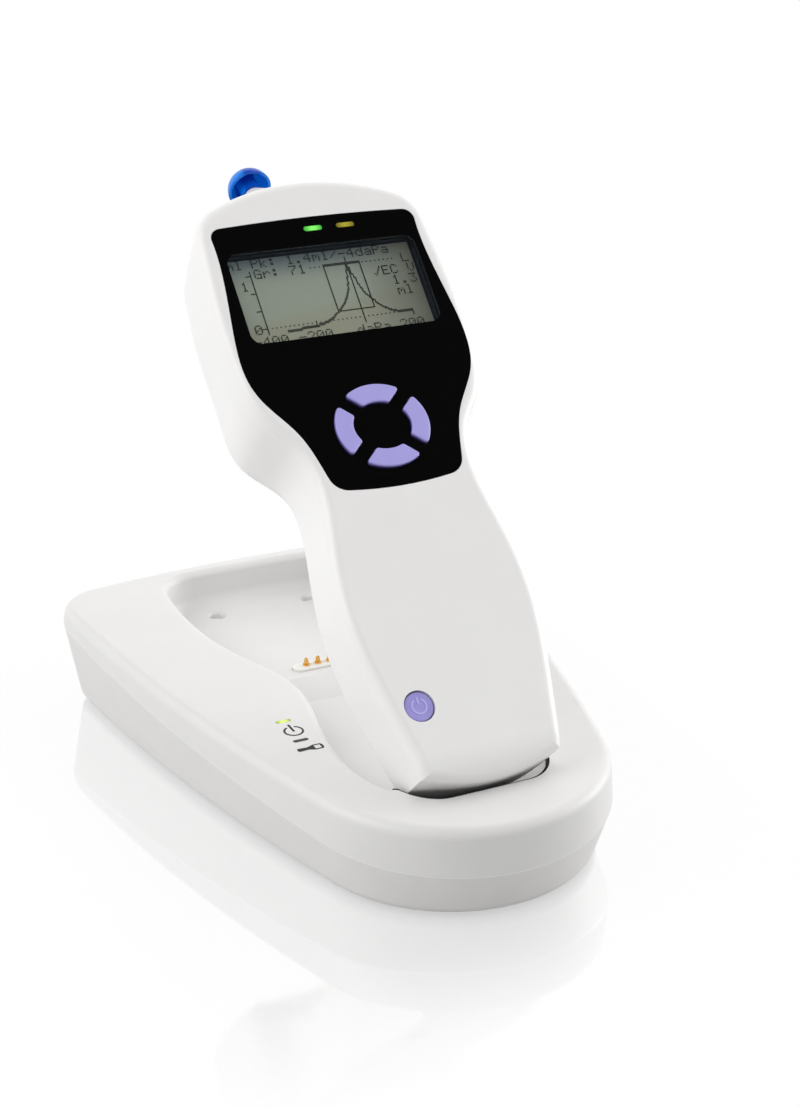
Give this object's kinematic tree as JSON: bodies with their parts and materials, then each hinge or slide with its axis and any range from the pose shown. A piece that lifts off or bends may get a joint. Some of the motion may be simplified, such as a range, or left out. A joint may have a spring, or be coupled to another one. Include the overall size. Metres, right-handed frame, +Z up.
{
  "type": "handheld tympanometer in charging cradle",
  "caption": "White handheld ear-pressure tester with display, key ring and blue ear tip on its probe, leaning in the foot slot of a tapered white charging cradle.",
  "frame": {"origin": "on the table under the middle of the cradle", "axes": "+Z up, +Y towards the cradle's wide back, +X to the right of someone who faces the display"},
  "size_m": [0.1436, 0.2044, 0.1755],
  "materials": {
    "cover_white": "satin",
    "base_white": "fine texture",
    "shell_white": "satin",
    "liner_black": "matt",
    "foot_rubber": "matt",
    "steel": "plain",
    "zinc_screw": "bright",
    "board_green": "lacquered",
    "pad_white": "satin",
    "gold": "polished",
    "light_green": "clear",
    "light_dark": "clear",
    "light_amber": "clear",
    "jack_black": "satin",
    "overlay_black": "gloss",
    "window_clear": "gloss",
    "frame_black": "matt",
    "lcd_grey": "gloss",
    "backlight": "matt",
    "key_lavender": "satin",
    "button_lavender": "satin",
    "mat_grey": "matt",
    "sensor_white": "matt",
    "pump_white": "satin",
    "piston_black": "satin",
    "tube_clear": "satin",
    "probe_grey": "satin",
    "capsule_metal": "satin",
    "nose_white": "satin",
    "seal_black": "matt",
    "tip_blue": "gloss",
    "cell_sleeve": "printed sleeve",
    "tray_black": "matt",
    "nickel": "plain"
  },
  "bodies": {
    "cradle": {"cradle_cover": "cover_white", "cradle_base": "base_white", "socket_liner": "liner_black", "cradle_feet": "foot_rubber", "ballast_plate": "steel", "cradle_screws": "zinc_screw", "charging_board": "board_green", "contact_block": "pad_white", "pogo_barrels": "gold", "charge_light": "light_green", "ready_light": "light_dark", "dc_socket": "jack_black"},
    "handset": {"front_shell": "shell_white", "rear_shell": "shell_white", "display_overlay": "overlay_black", "display_window": "window_clear", "status_light_left": "light_green", "status_light_right": "light_amber", "lcd_frame": "frame_black", "lcd_panel": "lcd_grey", "backlight_plate": "backlight", "keypad_mat": "mat_grey", "key_board": "board_green", "power_switch_board": "board_green", "main_board": "board_green", "pressure_sensor": "sensor_white", "pump_motor": "steel", "pump_bracket": "steel", "pump_cylinder": "pump_white", "probe_manifold": "probe_grey", "probe_speaker": "capsule_metal", "probe_microphone": "capsule_metal", "pump_tube": "tube_clear", "nose_seal": "seal_black", "battery_tray": "tray_black", "battery_cells": "cell_sleeve", "battery_contacts": "nickel", "charge_contacts": "gold", "handset_screws": "zinc_screw"},
    "lead_screw": {"lead_screw": "steel"},
    "pump_piston": {"pump_piston": "piston_black"},
    "probe_nose": {"probe_nose": "nose_white"},
    "ear_tip": {"ear_tip": "tip_blue"},
    "battery_door": {"battery_door": "shell_white"},
    "key_up": {"key_up": "key_lavender"},
    "key_down": {"key_down": "key_lavender"},
    "key_left": {"key_left": "key_lavender"},
    "key_right": {"key_right": "key_lavender"},
    "power_button": {"power_button": "button_lavender"},
    "pogo_pin_left": {"pogo_pin_left": "gold"},
    "pogo_pin_middle": {"pogo_pin_middle": "gold"},
    "pogo_pin_right": {"pogo_pin_right": "gold"}
  },
  "joints": [
    {"name": "handset_lift", "type": "slide", "parent": "cradle", "child": "handset", "axis": [0, 0.6921, 0.7218], "range_m": [0, 0.1]},
    {"name": "key_up_press", "type": "slide", "parent": "handset", "child": "key_up", "axis": [0, 0.7218, -0.6921], "range_m": [0, 0.0007], "stiffness_N_per_m": 800, "springref_m": -0.0003},
    {"name": "key_down_press", "type": "slide", "parent": "handset", "child": "key_down", "axis": [0, 0.7218, -0.6921], "range_m": [0, 0.0007], "stiffness_N_per_m": 800, "springref_m": -0.0003},
    {"name": "key_left_press", "type": "slide", "parent": "handset", "child": "key_left", "axis": [0, 0.7218, -0.6921], "range_m": [0, 0.0007], "stiffness_N_per_m": 800, "springref_m": -0.0003},
    {"name": "key_right_press", "type": "slide", "parent": "handset", "child": "key_right", "axis": [0, 0.7218, -0.6921], "range_m": [0, 0.0007], "stiffness_N_per_m": 800, "springref_m": -0.0003},
    {"name": "power_press", "type": "slide", "parent": "handset", "child": "power_button", "axis": [0, 0.7218, -0.6921], "range_m": [0, 0.0006], "stiffness_N_per_m": 900, "springref_m": -0.0003},
    {"name": "screw_turn", "type": "hinge", "parent": "handset", "child": "lead_screw", "pos_m": [0, 0.032, 0.12452], "axis": [1, 0, 0], "range_deg": [0, 841]},
    {"name": "piston_slide", "type": "slide", "parent": "handset", "child": "pump_piston", "axis": [1, 0, 0], "range_m": [0, 0.014]},
    {"name": "nose_pull", "type": "slide", "parent": "handset", "child": "probe_nose", "axis": [0, 0.9259, 0.3778], "range_m": [0, 0.016]},
    {"name": "ear_tip_pull", "type": "slide", "parent": "probe_nose", "child": "ear_tip", "axis": [0, 0.9259, 0.3778], "range_m": [0, 0.012]},
    {"name": "battery_door_lift", "type": "slide", "parent": "handset", "child": "battery_door", "axis": [0, 0.7218, -0.6921], "range_m": [0, 0.016]},
    {"name": "pogo_pin_left_press", "type": "slide", "parent": "cradle", "child": "pogo_pin_left", "axis": [0, 0, -1], "range_m": [0, 0.0012], "stiffness_N_per_m": 300, "springref_m": -0.0003},
    {"name": "pogo_pin_middle_press", "type": "slide", "parent": "cradle", "child": "pogo_pin_middle", "axis": [0, 0, -1], "range_m": [0, 0.0012], "stiffness_N_per_m": 300, "springref_m": -0.0003},
    {"name": "pogo_pin_right_press", "type": "slide", "parent": "cradle", "child": "pogo_pin_right", "axis": [0, 0, -1], "range_m": [0, 0.0012], "stiffness_N_per_m": 300, "springref_m": -0.0003}
  ],
  "couplings": [
    {"joint": "screw_turn", "follows": "piston_slide", "rad_per_m": 1047.2}
  ]
}
